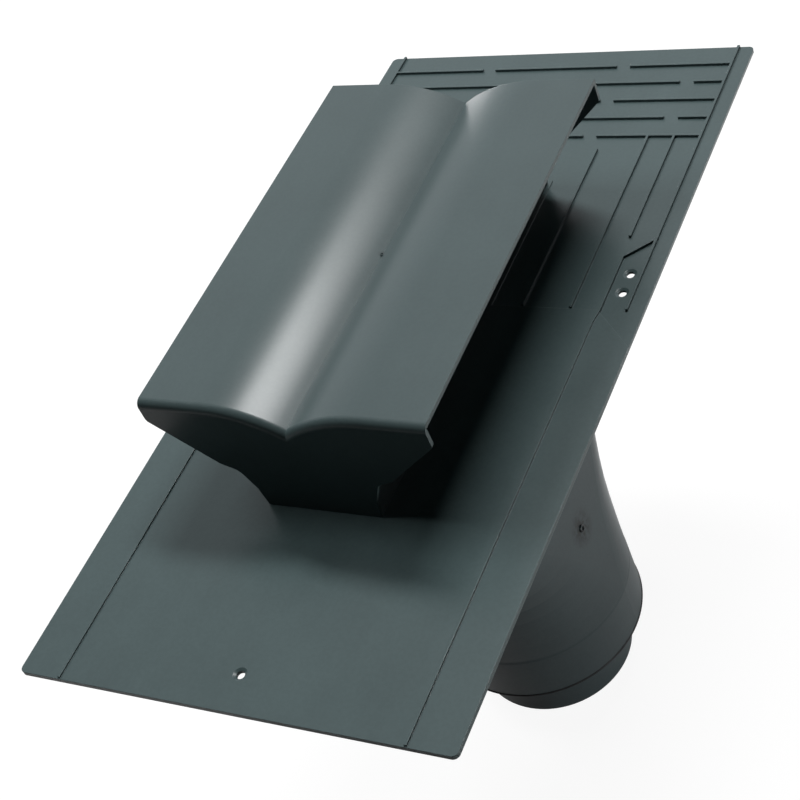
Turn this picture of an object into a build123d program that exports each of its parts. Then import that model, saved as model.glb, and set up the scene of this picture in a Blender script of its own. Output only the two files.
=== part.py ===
from build123d import *

import os
from math import acos, atan2, cos, degrees, floor, hypot, pi, sin, sqrt

# A roof vent for a slated or plain tiled roof. A flashing plate lies in the courses of slates,
# a gull-wing hood over it lets air out at both sides, and a hopper under it gathers the
# long opening down to a round pipe spigot.
#
# Frame: the plate lies flat. +Z is square to the roof, +Y points up the slope, +X to the right
# as one faces the roof. The origin is where the duct's axis meets the plate's underside.
# All sizes are in millimetres.

# Base plate
plate_width = 300.0
plate_length = 600.0
plate_thickness = 2.5
plate_corner_radius = 4.0
plate_centre_y = 2.5  # the plate's middle lies this far up the slope from the duct's axis
cover_length = 272.0  # head part, which the next course of slates covers
panel_rise = 0.7  # the exposed tail part stands proud by this much

# Weather ribs on the covered head part
rib_width = 1.8
rib_height = 1.8
row_pitch = 20.0
row_count = 5
row_gap = 10.6  # gaps in the rows let water run down
inner_gap_x = 55.5
outer_gap_x = 110.8
edge_rib_inset = 11.4
edge_rib_overrun = 1.6  # how far the side ribs stop short of the exposed part
guide_rib_x = 65.8
guide_rib_clear = 15.5  # the guide ribs start this far below the last row
guard_rib_x = 99.8
short_rib_x = 119.3
short_rib_length = 102.6
nail_rib_x = 120.6
nail_rib_top = 205.0  # distance from the head edge to where the rib round the nail holes starts
long_rib_inset = 30.8
long_rib_jog = 12.5  # length over which the nail rib moves over to the long rib

# Fixing holes
nail_hole_radius = 2.75
nail_hole_x = 130.3
nail_hole_drops = (237.7, 255.0)  # from the head edge
tail_hole_from_tail = 25.3
countersink_radius = 4.6
countersink_depth = 1.0

# Hood
hood_half_width = 100.0
hood_length = 303.0
hood_height = 93.2  # over the plate's underside, at the head end
hood_fall = 2.4  # the roof of the hood runs down to the tail by this much
hood_wall = 2.8
lobe_radius = 100.0
lobe_centre_x = 57.0
roof_edge_round = 5.2  # along the tail end of the roof
wing_tip_height = 16.2
wing_tip_round = 4.5
wing_root = (61.0, 39.5)
shoulder = (49.5, 34.5)
shoulder_round = 9.0
throat_z = 18.0
neck_half_width = 40.5
neck_flare = 2.0
neck_top_z = 31.0
seat_margin = 3.0

# Upstand round the opening, which the hood and the hopper both clip to
upstand_wall = 2.2
upstand_top_z = 28.0
upstand_clearance = 0.4
upstand_corner_radius = 5.0
window_width = 17.0
window_height = 5.0
window_z = 14.0
hopper_clip_y = 100.0
hood_clip_y = 50.0
clip_play = 0.5
clip_depth = 1.7

# Side grilles
grille_thickness = 2.0
grille_play = 0.3
grille_slot = 4.0
grille_bar = 2.6
grille_rail = 5.0
keeper_height = 4.0
keeper_width = 1.6

# Hopper
sleeve_wall = 2.2
sleeve_clearance = 0.3
sleeve_top_z = 21.0
hopper_wall = 2.5
mouth_half_width = 41.0
mouth_corner_radius = 8.0
mouth_band = 9.0
mouth_clearance = 0.4
mouth_rebate = 0.6  # how deep the mouth seats in the plate's underside
rim_wall = 2.2
rim_depth = 8.0
hopper_depth = 260.0
throat_radius = 81.1
knee_share = 0.736  # share of the taper's depth at which the end walls reach the throat's width
knee_softness = 8.0
knee_start_share = 0.5
upper_steps = 3
lower_steps = 8
corner_growth = 1.08  # near 1 lets the corners round out early in the taper
roundest_corner = 0.995  # share of the half width
collar_blend = 3.0  # height over which the taper's round end runs into the collar
collar_radius = 81.5
collar_length = 44.5
collar_round = 2.0

# Pipe spigot, its plug and seal
pipe_radius = 62.5
pipe_wall = 2.8
pipe_length = 46.0
pipe_lead = 1.5
plug_clearance = 0.4
plug_wall = 4.6
plug_length = 27.0
flange_thickness = 2.5
flange_inset = 1.6
groove_depth = 2.2
groove_width = 6.0
groove_from_flange = 10.0
seal_side_play = 0.2

# Levels and edges that follow from the sizes above
head_y = plate_centre_y + plate_length / 2
tail_y = plate_centre_y - plate_length / 2
panel_y = head_y - cover_length
seat_z = plate_thickness + panel_rise
edge_rib_x = plate_width / 2 - edge_rib_inset
long_rib_x = plate_width / 2 - long_rib_inset
neck_inner_x = neck_half_width - hood_wall
neck_inner_y = hood_length / 2 - hood_wall
upstand_outer_x = neck_inner_x - upstand_clearance
upstand_outer_y = neck_inner_y - upstand_clearance
upstand_inner_x = upstand_outer_x - upstand_wall
upstand_inner_y = upstand_outer_y - upstand_wall
sleeve_outer_x = upstand_inner_x - sleeve_clearance
sleeve_outer_y = upstand_inner_y - sleeve_clearance
mouth_half_length = hood_length / 2
collar_top_z = -hopper_depth
collar_end_z = collar_top_z - collar_length
collar_bore = collar_radius - hopper_wall


def slab(half_x, half_y, z_low, z_high, corner=0.0):
    """A flat block centred on the duct's axis, its upright edges rounded by corner."""
    if corner > 0:
        outline = RectangleRounded(2 * half_x, 2 * half_y, corner)
    else:
        outline = Rectangle(2 * half_x, 2 * half_y)
    return Pos(0, 0, z_low) * extrude(outline, amount=z_high - z_low)


def block(x_low, x_high, y_low, y_high, z_low, z_high):
    """A block between two corners."""
    middle = Pos((x_low + x_high) / 2, (y_low + y_high) / 2, (z_low + z_high) / 2)
    return middle * Box(x_high - x_low, y_high - y_low, z_high - z_low)


def stroke(start, end):
    """A rib's footprint from start to end, half a rib's width past each."""
    run = hypot(end[0] - start[0], end[1] - start[1])
    turn = degrees(atan2(end[1] - start[1], end[0] - start[0]))
    middle = Pos((start[0] + end[0]) / 2, (start[1] + end[1]) / 2)
    return middle * Rot(0, 0, turn) * Rectangle(run + rib_width, rib_width)


def both_sides(points):
    """Strokes along a run of points, and the same run mirrored to the left."""
    faces = []
    for side in (1, -1):
        for a, b in zip(points, points[1:]):
            faces.append(stroke((side * a[0], a[1]), (side * b[0], b[1])))
    return faces


def rib_footprints():
    """All ribs of the plate: rows with staggered gaps, guides under them, and the long side ribs."""
    faces = []
    last_row_y = head_y - row_count * row_pitch
    clear = (row_gap + rib_width) / 2
    for row in range(row_count):
        y = head_y - (row + 1) * row_pitch
        gap_x = inner_gap_x if row % 2 == 0 else outer_gap_x
        faces.append(stroke((-gap_x + clear, y), (gap_x - clear, y)))
        faces += both_sides([(gap_x + clear, y), (edge_rib_x, y)])
    guide_end_y = panel_y + rib_width
    faces += both_sides([(edge_rib_x, head_y), (edge_rib_x, panel_y + edge_rib_overrun)])
    faces += both_sides([(guide_rib_x, last_row_y - guide_rib_clear), (guide_rib_x, guide_end_y)])
    faces += both_sides([(guard_rib_x, last_row_y), (guard_rib_x, guide_end_y)])
    faces += both_sides([(short_rib_x, last_row_y), (short_rib_x, last_row_y - short_rib_length)])
    nail_top_y = head_y - nail_rib_top
    turn_y = nail_top_y - (edge_rib_x - nail_rib_x)
    faces += both_sides([
        (edge_rib_x, nail_top_y),
        (nail_rib_x, turn_y),
        (nail_rib_x, panel_y),
        (long_rib_x, panel_y - long_rib_jog),
        (long_rib_x, tail_y + rib_width),
    ])
    return faces


def plate_outline():
    return Pos(0, plate_centre_y) * RectangleRounded(plate_width, plate_length, plate_corner_radius)


def exposed_panel():
    """The tail part's raised face, its upper corners cut off at 45 degrees."""
    cut = plate_width / 2 - long_rib_x
    half = plate_width / 2
    corners = [
        (-half, tail_y), (half, tail_y), (half, panel_y - cut),
        (long_rib_x, panel_y), (-long_rib_x, panel_y), (-half, panel_y - cut),
    ]
    face = make_face(Polyline(*corners, close=True)) & plate_outline()
    return extrude(face, amount=seat_z)


def clip_window(side, y):
    x = side * (upstand_outer_x + upstand_inner_x) / 2
    depth = 2 * upstand_wall
    return Pos(x, y, window_z) * Box(depth, window_width, window_height)


def clip(side, root_x, y):
    """A snap lug: a wedge that stands clip_depth out of a wall at root_x, square at its catch."""
    half = window_width / 2 - clip_play
    high = window_height / 2 - clip_play
    root = root_x - side * upstand_clearance
    tip = root_x + side * clip_depth
    profile = make_face(Polyline((root, -high), (tip, -high), (tip, 0), (root, high), close=True))
    lug = extrude(Plane.XZ * profile, amount=half, both=True)
    return Pos(0, y, window_z) * lug


def base_plate():
    plate = extrude(plate_outline(), amount=plate_thickness)
    plate += exposed_panel()
    plate += slab(neck_half_width + seat_margin, hood_length / 2 + seat_margin, 0, seat_z)
    ribs = Sketch() + rib_footprints()
    ribs &= plate_outline()
    plate += extrude(ribs, amount=plate_thickness + rib_height)
    plate += slab(upstand_outer_x, upstand_outer_y, 0, upstand_top_z, upstand_corner_radius)
    rim_x = mouth_half_width + mouth_clearance
    rim_y = mouth_half_length + mouth_clearance
    rim_corner = mouth_corner_radius + mouth_clearance
    plate += slab(rim_x + rim_wall, rim_y + rim_wall, -rim_depth, 0, rim_corner + rim_wall)
    plate -= slab(rim_x, rim_y, -rim_depth, mouth_rebate, rim_corner)
    inner_corner = upstand_corner_radius - upstand_wall
    plate -= slab(upstand_inner_x, upstand_inner_y, 0, upstand_top_z, inner_corner)
    for side in (1, -1):
        for y in (-hopper_clip_y, -hood_clip_y, hood_clip_y, hopper_clip_y):
            plate -= clip_window(side, y)
    holes = [(0, tail_y + tail_hole_from_tail, seat_z)]
    for drop in nail_hole_drops:
        for side in (1, -1):
            holes.append((side * nail_hole_x, head_y - drop, plate_thickness))
    for x, y, top in holes:
        sink = Cone(nail_hole_radius, countersink_radius, countersink_depth)
        plate -= Pos(x, y, top - countersink_depth / 2) * sink
        plate -= Pos(x, y, top / 2) * Cylinder(nail_hole_radius, top)
    return plate


def crown(edge_z, drop):
    """The hood's top outline from right to left, lowered by drop: two lobes that meet in a valley."""
    radius = lobe_radius - drop
    centre_z = edge_z - lobe_radius
    level = edge_z - drop
    meet = pi - acos(lobe_centre_x / radius)
    between = (pi / 2 + meet) / 2
    valley = (0, centre_z + radius * sin(meet))
    bulge = (lobe_centre_x + radius * cos(between), centre_z + radius * sin(between))
    curve = Line((hood_half_width, level), (lobe_centre_x, level))
    curve += ThreePointArc((lobe_centre_x, level), bulge, valley)
    curve += ThreePointArc(valley, (-bulge[0], bulge[1]), (-lobe_centre_x, level))
    curve += Line((-lobe_centre_x, level), (-hood_half_width, level))
    return curve


def cheek_side(edge_z, side):
    """One side of an end cheek: wing tip, sloping underside, shoulder and neck, down to the seat."""
    points = [
        (hood_half_width, edge_z),
        (hood_half_width, edge_z - wing_tip_height),
        wing_root,
        shoulder,
        (neck_half_width + neck_flare, throat_z),
        (neck_half_width, seat_z - hood_fall),
    ]
    rounds = [wing_tip_round, shoulder_round, shoulder_round, shoulder_round]
    return FilletPolyline(*[(side * x, z) for x, z in points], radius=rounds)


def cheek_outline(edge_z):
    low = seat_z - hood_fall
    curve = crown(edge_z, 0)
    curve += cheek_side(edge_z, 1)
    curve += cheek_side(edge_z, -1)
    curve += Line((-neck_half_width, low), (neck_half_width, low))
    return make_face(curve)


def end_cheek(end):
    """A closed cheek at the head (1) or tail (-1) end, its top running with the roof's fall."""
    edge_z = hood_height - hood_fall * (1 - end) / 2
    face = (Plane.XZ.offset(-end * hood_length / 2) * cheek_outline(edge_z)).face()
    return Solid.extrude(face, -end * hood_wall * Vector(0, 1, hood_fall / hood_length))


def roof_skin():
    curve = crown(hood_height, 0)
    curve += crown(hood_height, hood_wall)
    for side in (1, -1):
        x = side * hood_half_width
        curve += Line((x, hood_height), (x, hood_height - hood_wall))
    face = (Plane.XZ.offset(-hood_length / 2) * make_face(curve)).face()
    return Solid.extrude(face, Vector(0, -hood_length, -hood_fall))


def roof_under(x, y):
    """Height of the hood's roof underside at a point, between its valley and the lobes' crests."""
    radius = lobe_radius - hood_wall
    rise = sqrt(radius**2 - (lobe_centre_x - abs(x)) ** 2)
    along = hood_fall * (hood_length / 2 - y) / hood_length
    return hood_height - lobe_radius + rise - along


grille_outer_x = upstand_outer_x - grille_play / 2
grille_inner_x = grille_outer_x - grille_thickness


def keeper(x_low, x_high):
    """A bead under the hood's roof, which keeps the top of a grille in its place."""
    y = neck_inner_y
    top = hood_wall / 2
    corners = [
        (-y, roof_under(x_low, -y) - keeper_height), (y, roof_under(x_low, y) - keeper_height),
        (y, roof_under(x_low, y) + top), (-y, roof_under(x_low, -y) + top),
    ]
    face = make_face(Polyline(*corners, close=True))
    return Pos(x_low, 0, 0) * extrude(Plane.YZ * face, amount=x_high - x_low)


def hood():
    half = hood_length / 2
    shell = Part() + roof_skin()
    shell += end_cheek(1)
    shell += end_cheek(-1)
    for side in (1, -1):
        inner, outer = sorted((side * neck_inner_x, side * neck_half_width))
        shell += block(inner, outer, -half, half, seat_z, neck_top_z)
        for y in (-hood_clip_y, hood_clip_y):
            shell += clip(-side, side * neck_inner_x, y)
        for x in (grille_outer_x + grille_play, grille_inner_x - grille_play - keeper_width):
            low, high = sorted((side * x, side * (x + keeper_width)))
            shell += keeper(low, high)
    shell -= block(-half, half, -half, half, seat_z - 2 * hood_fall, seat_z)
    front = shell.edges().filter_by_position(Axis.Y, -half - 0.01, -half + 0.01)
    valley_z = hood_height - hood_fall - lobe_radius + sqrt(lobe_radius**2 - lobe_centre_x**2)
    crest = [e for e in front if e.center().Z > valley_z and abs(e.center().X) < hood_half_width - 1]
    return fillet(crest, roof_edge_round)


def grille(side):
    """A slotted screen that stands on the upstand and closes one outlet up to the hood's roof."""
    half = neck_inner_y - grille_play
    low = upstand_top_z
    tops = [min(roof_under(x, y) for x in (grille_inner_x, grille_outer_x)) - grille_play
            for y in (-half, half)]
    outline = make_face(Polyline((-half, low), (half, low), (half, tops[1]), (-half, tops[0]), close=True))
    pitch = grille_slot + grille_bar
    count = floor((2 * half - 2 * grille_rail + grille_bar) / pitch)
    slot_low = neck_top_z + grille_rail / 2
    slot_high = tops[0] - keeper_height - grille_rail / 2
    tier = (slot_high - slot_low - grille_rail) / 2
    for column in range(count):
        y = (column - (count - 1) / 2) * pitch
        for z in (slot_low + tier / 2, slot_high - tier / 2):
            outline -= Pos(y, z) * Rectangle(grille_slot, tier)
    start = grille_inner_x if side > 0 else -grille_outer_x
    return Pos(start, 0, 0) * extrude(Plane.YZ * outline, amount=grille_thickness)


def hopper_section(share, inset, z=None):
    """The hopper's outline at a share of its taper, taken in by inset: rectangle to circle."""
    half_x = mouth_half_width + (throat_radius - mouth_half_width) * share
    end_drop = mouth_half_length - throat_radius

    def leaning(s):
        lean = end_drop * (1 - s / knee_share)
        return (lean + hypot(lean, knee_softness)) / 2

    excess = (leaning(0) - end_drop) * (1 - share) + leaning(1) * share
    half_y = throat_radius + leaning(share) - excess
    square = 1 - mouth_corner_radius / mouth_half_width
    corner = half_x * min(1 - square * (1 - share) ** corner_growth, roundest_corner)
    if z is None:
        z = -mouth_band - (hopper_depth - mouth_band) * share
    return Pos(0, 0, z) * RectangleRounded(2 * (half_x - inset), 2 * (half_y - inset), corner - inset)


def hopper_body(top_z, inset):
    """Mouth band and taper, ruled between sections that lie closer where the end walls straighten."""
    upper = [knee_start_share * i / upper_steps for i in range(upper_steps)]
    lower = [knee_start_share + (1 - knee_start_share) * i / lower_steps for i in range(lower_steps + 1)]
    sections = [hopper_section(0, inset, top_z)]
    sections += [hopper_section(share, inset) for share in upper + lower]
    sections.append(hopper_section(1, inset, collar_top_z - collar_blend))
    return loft(sections, ruled=True)


def hopper():
    middle_z = (collar_top_z + collar_end_z) / 2
    ring = Cylinder(collar_radius, collar_length)
    ring = fillet(ring.edges().sort_by(Axis.Z)[0], collar_round)
    lip = ring.edges().sort_by(Axis.Z)[-1]
    wall = ring.faces().filter_by(GeomType.CYLINDER)[0]
    ring = chamfer(lip, collar_blend, collar_radius - throat_radius, reference=wall)
    shell = hopper_body(mouth_rebate, 0) + Pos(0, 0, middle_z) * ring
    sleeve_corner = upstand_corner_radius - upstand_wall
    mouth_under_z = mouth_rebate - hopper_wall
    shell += slab(sleeve_outer_x, sleeve_outer_y, mouth_under_z, sleeve_top_z, sleeve_corner)
    shell -= hopper_body(mouth_under_z, hopper_wall)
    shell -= Pos(0, 0, middle_z) * Cylinder(collar_bore, collar_length)
    shell -= slab(sleeve_outer_x - sleeve_wall, sleeve_outer_y - sleeve_wall, -mouth_band, sleeve_top_z)
    for side in (1, -1):
        for y in (-hopper_clip_y, hopper_clip_y):
            shell += clip(side, side * sleeve_outer_x, y)
    return shell


def pipe_spigot():
    plug_radius = collar_bore - plug_clearance
    plug_bore = plug_radius - plug_wall
    groove_radius = plug_radius - groove_depth
    pipe_bore = pipe_radius - pipe_wall
    flange_low = collar_end_z - flange_thickness
    groove_low = collar_end_z + groove_from_flange
    end_z = flange_low - pipe_length
    plug_top = collar_end_z + plug_length
    points = [
        (pipe_bore, end_z), (pipe_radius - pipe_lead, end_z), (pipe_radius, end_z + pipe_lead),
        (pipe_radius, flange_low), (collar_radius - flange_inset, flange_low),
        (collar_radius - flange_inset, collar_end_z), (plug_radius, collar_end_z),
        (plug_radius, groove_low), (groove_radius, groove_low),
        (groove_radius, groove_low + groove_width), (plug_radius, groove_low + groove_width),
        (plug_radius, plug_top - pipe_lead), (plug_radius - pipe_lead, plug_top),
        (plug_bore, plug_top), (plug_bore, collar_end_z), (pipe_bore, collar_end_z),
    ]
    profile = make_face(Plane.XZ * Polyline(*points, close=True))
    return revolve(profile, Axis.Z)


def spigot_seal():
    """A rubber ring in the plug's groove, its crown on the collar's bore."""
    low = collar_end_z + groove_from_flange + seal_side_play
    high = low + groove_width - 2 * seal_side_play
    root = collar_bore - plug_clearance - groove_depth
    waist = collar_bore - plug_clearance
    curve = Line((waist, low), (root, low))
    curve += Line((root, low), (root, high))
    curve += Line((root, high), (waist, high))
    curve += ThreePointArc((waist, high), (collar_bore, (low + high) / 2), (waist, low))
    return revolve(make_face(Plane.XZ * curve), Axis.Z)


pieces = {
    "base_plate": base_plate(),
    "hood": hood(),
    "grille_left": grille(-1),
    "grille_right": grille(1),
    "hopper": hopper(),
    "spigot_seal": spigot_seal(),
    "pipe_spigot": pipe_spigot(),
}

os.makedirs("parts", exist_ok=True)
for name, piece in pieces.items():
    export_step(piece, f"parts/{name}.step")
    print(name, "volume", round(piece.volume), "solids", len(piece.solids()))
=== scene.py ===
# %% [markdown]
# A roof vent of dark moulded plastic
#
# This scene dresses a vent for a slated roof. A flat plate goes in among the slates, a hood with
# two lobes stands on it and lets stale air out under its wings, and a hopper below gathers
# the long opening down to a round spigot for a pipe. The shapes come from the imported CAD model,
# which is loaded first and never changed. What is left for Blender is what a drawing leaves
# out: the grain of the mould in the plastic, the small marks of its making, the light and the view.

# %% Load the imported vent
import bpy
from math import radians
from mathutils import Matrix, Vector


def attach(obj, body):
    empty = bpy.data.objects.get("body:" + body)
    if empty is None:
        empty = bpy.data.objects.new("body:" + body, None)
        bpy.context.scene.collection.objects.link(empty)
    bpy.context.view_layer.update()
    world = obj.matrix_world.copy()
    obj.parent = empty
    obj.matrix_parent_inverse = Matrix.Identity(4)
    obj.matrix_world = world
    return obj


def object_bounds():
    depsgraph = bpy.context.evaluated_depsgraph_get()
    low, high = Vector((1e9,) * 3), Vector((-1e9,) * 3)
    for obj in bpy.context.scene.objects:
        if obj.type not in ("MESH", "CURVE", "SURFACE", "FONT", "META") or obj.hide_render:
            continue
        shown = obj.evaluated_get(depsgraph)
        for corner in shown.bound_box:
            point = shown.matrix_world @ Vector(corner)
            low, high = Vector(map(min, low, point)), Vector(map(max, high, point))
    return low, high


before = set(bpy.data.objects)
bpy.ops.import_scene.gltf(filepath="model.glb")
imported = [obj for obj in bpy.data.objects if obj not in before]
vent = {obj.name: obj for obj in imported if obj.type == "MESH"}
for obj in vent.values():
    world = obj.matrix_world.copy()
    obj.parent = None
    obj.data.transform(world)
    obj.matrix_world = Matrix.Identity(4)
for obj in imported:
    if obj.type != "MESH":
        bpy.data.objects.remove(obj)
cad_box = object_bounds()
print("pieces of the vent:", sorted(vent))

# %% [markdown]
# The view
#
# A product photograph is taken from well back with a long lens, so that edges that are parallel on
# the object stay nearly parallel in the picture. The lens here is a little over 75 mm. The camera
# stands to the right of the tail edge and looks down on the plate. It also leans to one side, so
# the plate stands on its corner in the picture, as if the vent had been laid down on its tail edge
# and its spigot.

# %% Put the camera in its place
camera_place = (0.53758, -0.65979, 0.71494)
camera_turn = (radians(45.361), radians(18.776), radians(23.485))
lens_mm = 75.172
sensor_mm = 36
bpy.ops.object.camera_add(location=camera_place, rotation=camera_turn)
camera = bpy.context.object
camera.name = "camera"
camera.data.lens = lens_mm
camera.data.sensor_width = sensor_mm
bpy.context.scene.camera = camera
print("camera", [round(value, 3) for value in camera.location])

# %% [markdown]
# Small tools for the materials
#
# Floor, sky, plastic and rubber are all built from nodes, and most of that work is the same few
# moves: add a node, join its inputs or set them, and take what it puts out. A handful of short
# functions takes up these moves, so that the cells that follow only say what is special to
# each finish.


# %% Helpers that add nodes
def add(tree, kind, **settings):
    """A new node with those settings."""
    node = tree.nodes.new(kind)
    for key, value in settings.items():
        setattr(node, key, value)
    return node


def feed(tree, source, socket):
    """Join an output to a socket, or set the socket where the source is a plain value."""
    if hasattr(source, "is_linked"):
        tree.links.new(source, socket)
    else:
        socket.default_value = source


def wire(tree, kind, sources, **settings):
    """The outputs of a new node whose inputs, by name or number, are fed from the sources."""
    node = add(tree, kind, **settings)
    for place, source in sources.items():
        feed(tree, source, node.inputs[place])
    return node.outputs


def span(tree, value, low, high, to_low, to_high):
    """The value carried from one span to another with soft ends, and held beyond them."""
    ends = {"Value": value, "From Min": low, "From Max": high, "To Min": to_low, "To Max": to_high}
    return wire(tree, "ShaderNodeMapRange", ends, interpolation_type="SMOOTHSTEP")["Result"]


print("node helpers ready")


# %% Helpers that make and mix surfaces
def matt(tree, grey):
    """Plain matt paint."""
    return wire(tree, "ShaderNodeBsdfDiffuse", {"Color": (grey, grey, grey, 1)})[0]


def glow(tree, strength):
    """A white glow."""
    return wire(tree, "ShaderNodeEmission", {"Strength": strength})[0]


def layered(tree, first, second):
    """Two surfaces added up."""
    return wire(tree, "ShaderNodeAddShader", {0: first, 1: second})[0]


def blend(tree, share, first, second):
    """A surface that turns from the first into the second as the share goes from 0 to 1."""
    return wire(tree, "ShaderNodeMixShader", {0: share, 1: first, 2: second})[0]


print("surface helpers ready")

# %% [markdown]
# The floor
#
# The vent stands on the open end of its spigot. A plain pale floor lies there and runs far past
# the picture. In the photograph the ground is pure white, but a floor that bright would throw
# light up into the dark places under the hood, so it has three faces, and Light Path tells
# which kind of ray has met it. The camera sees a glowing white floor with a little ordinary paint
# under it, which keeps the vent's shadow; far out the glow is full, so no horizon shows. A
# reflection sees pale paint in the lamps' light, the ground beyond the vent glows in it, and
# the ground round the spigot does a little. To all other rays the floor is dark.

# %% Lay the floor
floor_level = cad_box[0][2]
floor_size = 30
bpy.ops.object.select_all(action="DESELECT")
bpy.ops.mesh.primitive_plane_add(size=floor_size, location=(0, 0, floor_level))
floor = bpy.context.object
floor.name = "floor"
bpy.ops.object.transform_apply(location=True, rotation=True, scale=True)
print("floor at", round(floor_level, 4))

# %% Paint the floor
# Each glow: the distances in metres between which it changes, and its strength at either end.
eye_glow_spans = (1.0, 5.0, 0.92, 1.0)
beyond_glow_spans = (0.0, 0.5, 0.0, 0.6)
foot_glow_spans = (0.36, 0.48, 0.18, 0.0)
shadow_paint = 0.14
mirrored_paint = 0.65
dark_paint = 0.03

floor_paint = bpy.data.materials.new("pale_floor")
floor_paint.use_nodes = True
tree = floor_paint.node_tree
tree.nodes.clear()
ray = add(tree, "ShaderNodeLightPath").outputs
where = add(tree, "ShaderNodeTexCoord").outputs["Object"]
beyond = wire(tree, "ShaderNodeSeparateXYZ", {0: where})["Y"]
away = wire(tree, "ShaderNodeVectorMath", {0: where}, operation="LENGTH")["Value"]
eye_glow = glow(tree, span(tree, away, *eye_glow_spans))
beyond_glow = glow(tree, span(tree, beyond, *beyond_glow_spans))
foot_glow = glow(tree, span(tree, away, *foot_glow_spans))
to_eye = layered(tree, matt(tree, shadow_paint), eye_glow)
to_mirror = layered(tree, layered(tree, matt(tree, mirrored_paint), beyond_glow), foot_glow)
to_others = blend(tree, ray["Is Glossy Ray"], matt(tree, dark_paint), to_mirror)
face = blend(tree, ray["Is Camera Ray"], to_others, to_eye)
wire(tree, "ShaderNodeOutputMaterial", {"Surface": face})
floor.data.materials.append(floor_paint)
print("floor painted")

# %% [markdown]
# The light
#
# Shadows tell where the lamps stood. The hood's shadow on the plate has a sharp start and a soft
# end across the plate, so the main lamp was a long softbox that hung over the head edge, wide from
# left to right and narrow the other way. A second lamp, high on the left, has about a third of its
# power. It stands for light from a whole wall, so it is kept out of reflections, where it would be
# a spot. A third, low on the right, draws the hopper out of the dark. The cheek of the hood, turned
# away from all of them, is nearly black. A dim lamp stands behind and below the plate, where
# the camera doesn't look, so that the other sides can be seen when the vent is turned round.


# %% Hang the lamps
def softbox(name, aim, direction, distance, wide, high, power):
    """An area lamp seen from aim in that direction, facing back at it, with its width level."""
    ray = Vector(direction).normalized()
    place = Vector(aim) + distance * ray
    turn = ray.to_track_quat("Z", "Y").to_euler()
    bpy.ops.object.light_add(type="AREA", location=place, rotation=turn)
    lamp = bpy.context.object
    lamp.name = name
    lamp.data.shape = "RECTANGLE"
    lamp.data.size = wide
    lamp.data.size_y = high
    lamp.data.energy = power
    print(name, "at", [round(value, 2) for value in place])
    return lamp


softbox("lamp_overhead", (0, 0, 0.05), (0.09, 0.51, 1.0), distance=3.0, wide=1.4, high=0.46, power=71)
fill = softbox("lamp_left", (0, 0, 0), (-0.6, 0.0, 1.0), distance=2.4, wide=0.9, high=0.9, power=25)
fill.visible_glossy = False
softbox("lamp_right", (0.05, 0, -0.2), (1.0, 0.0, -0.16), distance=1.6, wide=0.5, high=0.5, power=33)
softbox("lamp_behind", (0, 0, -0.1), (-0.5, 1.0, -0.05), distance=2.0, wide=0.9, high=0.4, power=18)

# %% [markdown]
# The room
#
# Satin plastic shows the room as a soft veil, and here that veil is a good part of what reaches
# the eye. The room was bright behind the vent and dark on the photographer's side, so
# the sky that reflections see is white beyond the head edge and fades to nothing in front. The camera
# sees plain white all round, and so would anything clear that it looked through. Everything else
# gets next to no light from the sky. White walls could be set up round the vent instead, but
# they would throw their light into the shadows too, and a world needs no space.

# %% Make the sky
room_colour = (0.93, 0.97, 1.0, 1)
white = (1, 1, 1, 1)
dim_strength = 0.006
veil_spans = (-0.1, 0.55, 0.0, 1.0)  # how far a direction leans towards the head edge, and the veil's strength

sky = bpy.data.worlds.new("studio")
bpy.context.scene.world = sky
sky.use_nodes = True
tree = sky.node_tree
tree.nodes.clear()
ray = add(tree, "ShaderNodeLightPath").outputs
toward = add(tree, "ShaderNodeTexCoord").outputs["Generated"]
lean = wire(tree, "ShaderNodeSeparateXYZ", {0: toward})["Y"]
dim = wire(tree, "ShaderNodeBackground", {"Color": room_colour, "Strength": dim_strength})[0]
veil = wire(tree, "ShaderNodeBackground", {"Color": room_colour, "Strength": span(tree, lean, *veil_spans)})[0]
plain = wire(tree, "ShaderNodeBackground", {"Color": white, "Strength": 1.0})[0]
to_others = blend(tree, ray["Is Glossy Ray"], dim, veil)
through = blend(tree, ray["Is Transmission Ray"], to_others, plain)
face = blend(tree, ray["Is Camera Ray"], through, plain)
wire(tree, "ShaderNodeOutputWorld", {"Surface": face})
bpy.context.scene.view_settings.view_transform = "Standard"
print("sky ready")

# %% [markdown]
# Effects that several finishes share
#
# Grain, edges made paler by wear and by a painted highlight, and the stain round a gate show on
# every moulding, only stronger on one than on another. Each effect is therefore built once, as a node
# group with a few named inputs, and is placed in every material with values of its own. A group puts
# out numbers or a normal, never a finished surface, so the material still decides what to do with them.

# %% Helpers for the shared effects
VECTOR = "NodeSocketVector"
NUMBER = "NodeSocketFloat"


def new_group(name, inputs, outputs):
    """A node group, the sockets it is given and those it fills. An input with no value is a vector."""
    group = bpy.data.node_groups.new(name, "ShaderNodeTree")
    for label, value in inputs.items():
        kind = VECTOR if value is None else NUMBER
        socket = group.interface.new_socket(label, in_out="INPUT", socket_type=kind)
        if value is not None:
            socket.default_value = value
    for label, kind in outputs.items():
        group.interface.new_socket(label, in_out="OUTPUT", socket_type=kind)
    return group, add(group, "NodeGroupInput").outputs, add(group, "NodeGroupOutput").inputs


def use(tree, group, **values):
    """The outputs of a group placed in a tree, its inputs joined or set by name."""
    return wire(tree, "ShaderNodeGroup", values, node_tree=group)


def times(tree, first, second):
    """The product of two sockets or numbers."""
    return wire(tree, "ShaderNodeMath", {0: first, 1: second}, operation="MULTIPLY")[0]


def plus(tree, first, *others):
    """The sum of sockets or numbers."""
    total = first
    for value in others:
        total = wire(tree, "ShaderNodeMath", {0: total, 1: value}, operation="ADD")[0]
    return total


def noise(tree, vector, scale, detail=2.0, roughness=0.5):
    """Soft random values, mostly between 0.3 and 0.7."""
    sources = {"Vector": vector, "Scale": scale, "Detail": detail, "Roughness": roughness}
    return wire(tree, "ShaderNodeTexNoise", sources)["Fac"]


print("group helpers ready")

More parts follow.
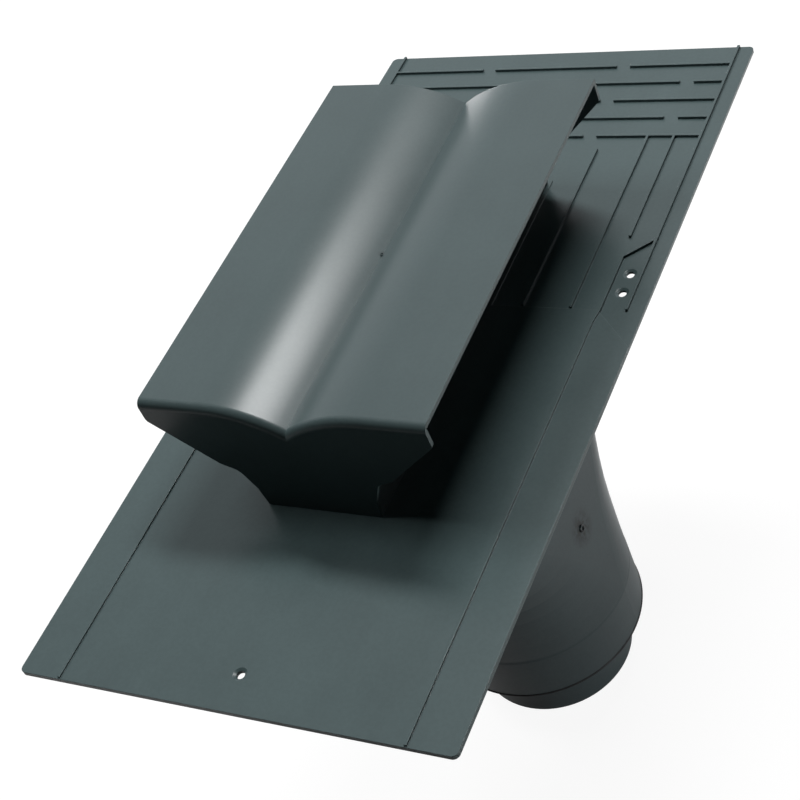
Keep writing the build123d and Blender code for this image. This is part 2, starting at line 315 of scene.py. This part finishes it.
# %% [markdown]
# The skin of the plastic
#
# All mouldings are of one dark, slightly green grey polypropylene. Its skin is satin: the mould was
# eroded to a fine even grain, which breaks up reflections without hiding the form. Close to,
# the colour isn't even either, because the melt flowed in long tongues and froze, and it is flecked
# where the pigment didn't quite mix. A photograph of plastic could be wrapped round the pieces, but
# noise in the object's own space needs no unwrapping and has no seams. The long tongues are
# ordinary noise too, in coordinates that are squeezed across the flow. The skin puts out a shade
# that the colour is multiplied by, a change of gloss, and a height for the bump.

# %% Build the skin
cloud_strength = 0.060
tongue_strength = 0.040
fleck_strength = 0.040
gloss_strength = 0.020
wave_height = 0.35
across_the_flow, along_the_flow = 34, 5
gentle_swing = (0.2, 0.8, -1, 1)  # noise between the first two becomes a value between the last two
strong_swing = (0.3, 0.7, -1, 1)

skin, given, wanted = new_group(
    "moulded_skin", {"Vector": None, "Grain": 1.0, "Cloud": 1.0}, {"Shade": NUMBER, "Gloss": NUMBER, "Height": NUMBER},
)
place = given["Vector"]
squeeze = (across_the_flow, along_the_flow, across_the_flow)
flow = wire(skin, "ShaderNodeVectorMath", {0: place, 1: squeeze}, operation="MULTIPLY")[0]
cloud = span(skin, noise(skin, place, scale=14, detail=4, roughness=0.6), *gentle_swing)
tongue = span(skin, noise(skin, flow, scale=1.0, detail=3, roughness=0.6), *gentle_swing)
fleck = span(skin, noise(skin, place, scale=420), *strong_swing)
uneven = plus(
    skin, times(skin, cloud, cloud_strength), times(skin, tongue, tongue_strength), times(skin, fleck, fleck_strength),
)
feed(skin, plus(skin, times(skin, uneven, given["Cloud"]), 1.0), wanted["Shade"])
feed(skin, times(skin, cloud, gloss_strength), wanted["Gloss"])
grain = times(skin, noise(skin, place, scale=1700, roughness=0.6), given["Grain"])
waves = times(skin, noise(skin, place, scale=55), wave_height)
feed(skin, plus(skin, grain, waves), wanted["Height"])
print("skin puts out", [socket.name for socket in wanted if socket.name])

# %% [markdown]
# The pale line along the edges
#
# Edges catch the light as a thin pale line, because no moulded edge is truly sharp. A bevel could be
# cut into the mesh, but the meshes come from the drawing and stay as they are. Cycles has a Bevel
# node that rounds only the shading across an edge. Where its normal and the true one part, there is
# an edge. The difference makes a mask for a slightly paler edge, partly rubbed wear and partly a
# painted highlight, and the rounded normal itself goes under the bump, so that every edge catches the lamps.

# %% Build the worn edge
flat_dot, sharp_dot = 0.97, 0.80  # the two normals' product where the paler edge, from wear and painted highlight, starts and where it is full
wear_and_highlight_strength = 0.12

edge_wear_and_highlight, given, wanted = new_group("edge_wear_and_highlight", {"Radius": 0.0005}, {"WearAndHighlight": NUMBER, "Normal": VECTOR})
rounded = wire(edge_wear_and_highlight, "ShaderNodeBevel", {"Radius": given["Radius"]}, samples=4)["Normal"]
true = add(edge_wear_and_highlight, "ShaderNodeNewGeometry").outputs["Normal"]
dot = wire(edge_wear_and_highlight, "ShaderNodeVectorMath", {0: rounded, 1: true}, operation="DOT_PRODUCT")["Value"]
# paler edge mask: partly wear, partly a painted highlight where the edge catches the lamps
wear_and_highlight = span(edge_wear_and_highlight, dot, flat_dot, sharp_dot, 0, 1)
feed(edge_wear_and_highlight, times(edge_wear_and_highlight, wear_and_highlight, wear_and_highlight_strength), wanted["WearAndHighlight"])
feed(edge_wear_and_highlight, rounded, wanted["Normal"])
print("worn edge puts out", [socket.name for socket in wanted if socket.name])

# %% [markdown]
# The stain round a gate
#
# The plastic enters the mould through a gate, and where it rushes in the skin freezes dull
# and dark in a blotch round that point. It could be painted by hand on each moulding. Here the
# distance from the gate gives the blotch its reach and a coarse noise breaks its rim up, so that
# one group serves every gate.

# %% Build the stain
full_share = 0.2  # the part of the reach in which the stain is full
blotch_spans = (0.35, 0.6, 0.3, 1)

gate_stain, given, wanted = new_group(
    "gate_stain", {"Vector": None, "Gate": None, "Reach": 0.008, "Depth": 0.45}, {"Stain": NUMBER},
)
place = given["Vector"]
away = wire(gate_stain, "ShaderNodeVectorMath", {0: place, 1: given["Gate"]}, operation="DISTANCE")["Value"]
near = span(gate_stain, away, times(gate_stain, given["Reach"], full_share), given["Reach"], 1, 0)
blotch = span(gate_stain, noise(gate_stain, place, scale=230, detail=3), *blotch_spans)
depth = times(gate_stain, given["Depth"], -1)
feed(gate_stain, times(gate_stain, times(gate_stain, near, blotch), depth), wanted["Stain"])
print("stain puts out", [socket.name for socket in wanted if socket.name])

# %% [markdown]
# The plastic
#
# The three large mouldings come from three moulds and perhaps three days, so each has its own
# batch of colour. The hood has a lighter grain and crisper edges than the rest, which keeps the long
# highlight on its left lobe clean. Three materials could be built by hand, but one function
# makes all three from the shared effects, which keeps them alike where the real ones are.


# %% Helpers for the finishes
def toned(tree, colour, tone):
    """The colour made lighter or darker by a tone."""
    return wire(tree, "ShaderNodeVectorMath", {0: colour, "Scale": tone}, operation="SCALE")["Vector"]


def bumped(tree, **sources):
    """A normal that follows a height."""
    return wire(tree, "ShaderNodeBump", sources)["Normal"]


print("finish helpers ready")

# %% Make the plastic of each moulding
grain_strength = 0.25
grain_height = 0.00008
plastic_ior = 1.43


def plastic(name, colour, roughness, gate, reach, depth=0.45, cloud=1.0, grain=1.0, edge=0.0005):
    """Satin moulded plastic, stained round its gate out to the reach."""
    material = bpy.data.materials.new(name)
    material.use_nodes = True
    tree = material.node_tree
    shader = tree.nodes["Principled BSDF"].inputs
    where = add(tree, "ShaderNodeTexCoord").outputs["Object"]
    surface = use(tree, skin, Vector=where, Grain=grain, Cloud=cloud)
    edges = use(tree, edge_wear_and_highlight, Radius=edge)
    mark = use(tree, gate_stain, Vector=where, Gate=gate, Reach=reach, Depth=depth)
    # the tone adds the paler edges, which carry a painted highlight as well as wear
    tone = plus(tree, surface["Shade"], mark["Stain"], edges["WearAndHighlight"])
    relief = bumped(
        tree, Height=surface["Height"], Normal=edges["Normal"], Strength=grain_strength, Distance=grain_height,
    )
    feed(tree, toned(tree, colour, tone), shader["Base Color"])
    feed(tree, plus(tree, surface["Gloss"], roughness), shader["Roughness"])
    feed(tree, relief, shader["Normal"])
    feed(tree, plastic_ior, shader["IOR"])
    print("made", name)
    return material


hood_gate_spot = (0.0, 0.0011, 0.0744)
hopper_gate_spot = (0.0692, -0.0048, -0.1855)
plate_gate_spot = (0.0, 0.1560, 0.0025)
plate_plastic = plastic("plate_plastic", (0.059, 0.088, 0.090), 0.30, plate_gate_spot, 0.008)
hood_plastic = plastic(
    "hood_plastic", (0.058, 0.084, 0.086), 0.31, hood_gate_spot, 0.004, cloud=0.8, grain=0.8, edge=0.0003,
)
hopper_plastic = plastic("hopper_plastic", (0.054, 0.076, 0.081), 0.30, hopper_gate_spot, 0.018, depth=0.9)

# %% [markdown]
# The rubber ring
#
# The seal between the collar and the spigot is black rubber. It hardly shows, only in the dark line
# of painted shade at the joint, but rubber is duller than the plastic, has a faint pale bloom in
# patches, and keeps the fine rings left by the lathe that cut its mould. The rings could be modelled,
# but they are far finer than a millimetre, so a wave pattern in the bump is enough.

# %% Make the rubber
rubber_colour = (0.012, 0.012, 0.013)
ring_scale = 300
bloom_spans = (0.3, 0.7, 0.8, 1.35)
dullness_spans = (0.3, 0.7, 0.62, 0.78)

rubber = bpy.data.materials.new("seal_rubber")
rubber.use_nodes = True
tree = rubber.node_tree
shader = tree.nodes["Principled BSDF"].inputs
where = add(tree, "ShaderNodeTexCoord").outputs["Object"]
rings = wire(
    tree, "ShaderNodeTexWave", {"Vector": where, "Scale": ring_scale}, wave_type="BANDS", bands_direction="Z",
)["Fac"]
bloom = span(tree, noise(tree, where, scale=60, detail=3), *bloom_spans)
dullness = span(tree, noise(tree, where, scale=90), *dullness_spans)
feed(tree, toned(tree, rubber_colour, bloom), shader["Base Color"])
feed(tree, dullness, shader["Roughness"])
feed(tree, bumped(tree, Height=rings, Strength=0.3, Distance=0.0001), shader["Normal"])
print("made", rubber.name)

# %% [markdown]
# Dressing the mouldings
#
# Each moulding is a piece of the CAD model and keeps its mesh. Only its material is changed, so the
# drawing and the picture can't drift apart. The spigot is a moulding of its own but shares the
# hopper's plastic, and the screens in the outlets share the hood's.

# %% Dress the mouldings
finishes = {
    "base_plate": plate_plastic,
    "hood": hood_plastic,
    "grille_left": hood_plastic,
    "grille_right": hood_plastic,
    "hopper": hopper_plastic,
    "pipe_spigot": hopper_plastic,
    "spigot_seal": rubber,
}
for name, finish in finishes.items():
    piece = vent[name]
    piece.data.materials.clear()
    piece.data.materials.append(finish)
    print(name, "has", finish.name)

# %% [markdown]
# The gate marks
#
# When the plastic that froze in a gate is snipped off, a stub with a dark pit stays behind: one in
# the valley of the hood, one on the side of the hopper. Each is a short cylinder, turned to stand
# square on its moulding and sunk in it to half its height. Its rim is bevelled, and the flat
# that is left is inset and pushed in for the pit. The marks are far too fine for the drawing, and
# a dark dot in the colour would stay flat when the light moves, so they are modelled here.


# %% A helper that models one stub
def select_faces(mesh, wanted):
    """Leave only those faces selected."""
    bpy.ops.object.mode_set(mode="EDIT")
    bpy.ops.mesh.select_mode(type="FACE")
    bpy.ops.mesh.select_all(action="DESELECT")
    bpy.ops.object.mode_set(mode="OBJECT")
    for face in mesh.polygons:
        face.select = wanted(face)
    bpy.ops.object.mode_set(mode="EDIT")


def gate_stub(name, place, turn, radius, tall):
    """A snipped gate: a low stub with a pit in its top, half of its height below the surface."""
    rim = radius * 0.18
    land = radius * 0.25
    pit_depth = tall * 0.45
    pit_taper = 0.75
    bpy.ops.object.select_all(action="DESELECT")
    bpy.ops.mesh.primitive_cylinder_add(vertices=40, radius=radius, depth=tall, location=place, rotation=turn)
    stub = bpy.context.object
    stub.name = name
    select_faces(stub.data, lambda face: face.normal.z > 0.9)
    bpy.ops.mesh.bevel(offset=rim, segments=3, affect="EDGES")
    select_faces(stub.data, lambda face: face.normal.z > 0.99)
    bpy.ops.mesh.inset(thickness=land)
    bpy.ops.mesh.extrude_region_shrink_fatten(TRANSFORM_OT_shrink_fatten={"value": -pit_depth})
    bpy.ops.transform.resize(value=(pit_taper, pit_taper, pit_taper))
    bpy.ops.mesh.select_all(action="SELECT")
    bpy.ops.mesh.normals_make_consistent(inside=False)
    bpy.ops.object.mode_set(mode="OBJECT")
    bpy.ops.object.transform_apply(location=True, rotation=True, scale=True)
    bpy.ops.object.shade_smooth_by_angle(angle=radians(35))
    print(name, "has", len(stub.data.polygons), "faces")
    return stub


# %% Set the two stubs
hopper_lean = 9.1  # degrees by which the hopper's side leans in
hopper_turn = (0, radians(90 - hopper_lean), 0)
hood_gate = gate_stub("hood_gate", hood_gate_spot, (0, 0, 0), radius=0.0014, tall=0.0016)
hopper_gate = gate_stub("hopper_gate", hopper_gate_spot, hopper_turn, radius=0.0030, tall=0.0022)

# %% [markdown]
# The lip of the seal
#
# Where the collar meets the flange of the spigot, a dark line runs round, the shade in the narrow gap
# between the two. A thin ring of the black seal rubber, pressed out a little like a lip, is set in that
# gap, so that it paints the shade as a dark line. A torus would do from afar, but a pressed ring isn't
# round in section, so a small circle is flattened on its inner side first and then spun once round the duct's axis.

# %% Draw the lip's section
# a thin black rubber ring in the joint that paints the shade of the gap as a dark line
lip_radius = 0.0808
lip_level = -0.3036
lip_thick = 0.0013
lip_flat = lip_thick * 0.4
bpy.ops.object.select_all(action="DESELECT")
bpy.ops.mesh.primitive_circle_add(
    vertices=12, radius=lip_thick, location=(lip_radius, 0, lip_level), rotation=(radians(90), 0, 0),
)
shade_line_lip = bpy.context.object
shade_line_lip.name = "seal_lip_painted_shade"
bpy.ops.object.transform_apply(location=True, rotation=True, scale=True)
bpy.ops.object.mode_set(mode="EDIT")
bpy.ops.mesh.select_mode(type="VERT")
bpy.ops.mesh.select_all(action="DESELECT")
bpy.ops.object.mode_set(mode="OBJECT")
for point in shade_line_lip.data.vertices:
    point.select = point.co.x < lip_radius - lip_flat
bpy.ops.object.mode_set(mode="EDIT")
bpy.ops.transform.translate(value=(lip_flat, 0, 0))
print("section of", len(shade_line_lip.data.vertices), "points")

# %% Spin the lip
lip_steps = 160
bpy.ops.mesh.select_all(action="SELECT")
bpy.ops.mesh.spin(steps=lip_steps, angle=radians(360), center=(0, 0, 0), axis=(0, 0, 1))
bpy.ops.mesh.remove_doubles(threshold=0.00001)
bpy.ops.mesh.normals_make_consistent(inside=False)
bpy.ops.object.mode_set(mode="OBJECT")
bpy.ops.object.shade_smooth_by_angle(angle=radians(50))
print("lip faces", len(shade_line_lip.data.polygons))

# %% [markdown]
# Putting it all together
#
# The new pieces get the finish of the moulding that they sit on, and ride on the vent's one body, so
# that they stay with it wherever it is placed.

# %% Dress the new pieces and fix them to the vent
for piece, finish, slot in (
    (hood_gate, hood_plastic, "plastic"),
    (hopper_gate, hopper_plastic, "plastic"),
    (shade_line_lip, rubber, "rubber"),
):
    piece.data.materials.append(finish)
    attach(piece, "root")
    print(piece.name, "rides on the vent")
